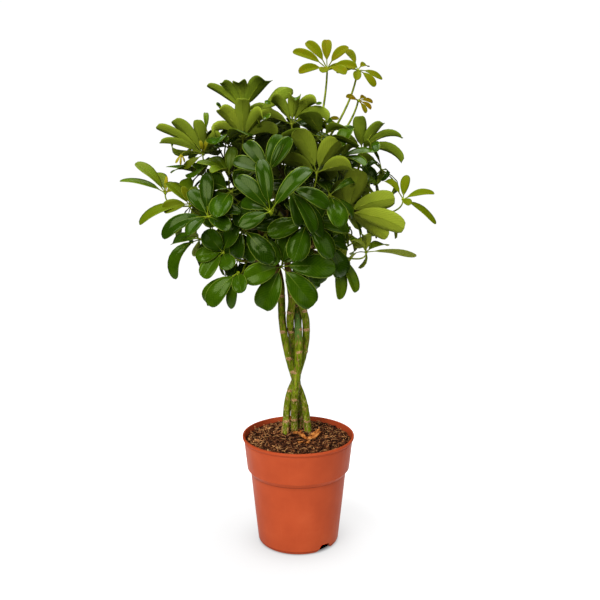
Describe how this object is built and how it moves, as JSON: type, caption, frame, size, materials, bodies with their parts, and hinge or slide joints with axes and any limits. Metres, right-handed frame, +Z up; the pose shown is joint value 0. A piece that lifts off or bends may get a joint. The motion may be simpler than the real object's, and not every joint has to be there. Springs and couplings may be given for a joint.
{
  "type": "potted umbrella plant",
  "caption": "Potted umbrella plant with a braided trunk and a bushy crown of palmate leaves, in a round tapered nursery pot with a wide rim band.",
  "frame": {"origin": "middle of the pot's underside, on the flat pad that it stands on", "axes": "+Z up along the pot's axis, +X to the right of the front view, +Y to the back"},
  "size_m": [0.495, 0.4107, 0.842],
  "materials": {
    "pot_plastic": "moulded polypropylene in a terracotta colour, satin",
    "potting_mix": "coarse dark coir and bark mix, matt",
    "stem_bark": "green young bark with tan leaf scars, half matt",
    "foliage": "glossy green upper faces, matt lighter undersides"
  },
  "bodies": {
    "root": {"pot": "pot_plastic", "soil": "potting_mix", "stem_left": "stem_bark", "stem_front": "stem_bark", "stem_right": "stem_bark", "stem_back": "stem_bark", "shoot_upper_left": "foliage", "shoot_left": "foliage", "shoot_far_left": "foliage", "shoot_lower_left": "foliage", "shoot_back_left": "foliage", "shoot_centre": "foliage", "shoot_low_front": "foliage", "shoot_front_right": "foliage", "shoot_right": "foliage", "shoot_far_right": "foliage", "shoot_lower_right": "foliage", "shoot_back_right": "foliage", "shoot_top": "foliage", "shoot_top_left": "foliage", "shoot_back": "foliage", "shoot_low_back": "foliage"}
  },
  "joints": []
}
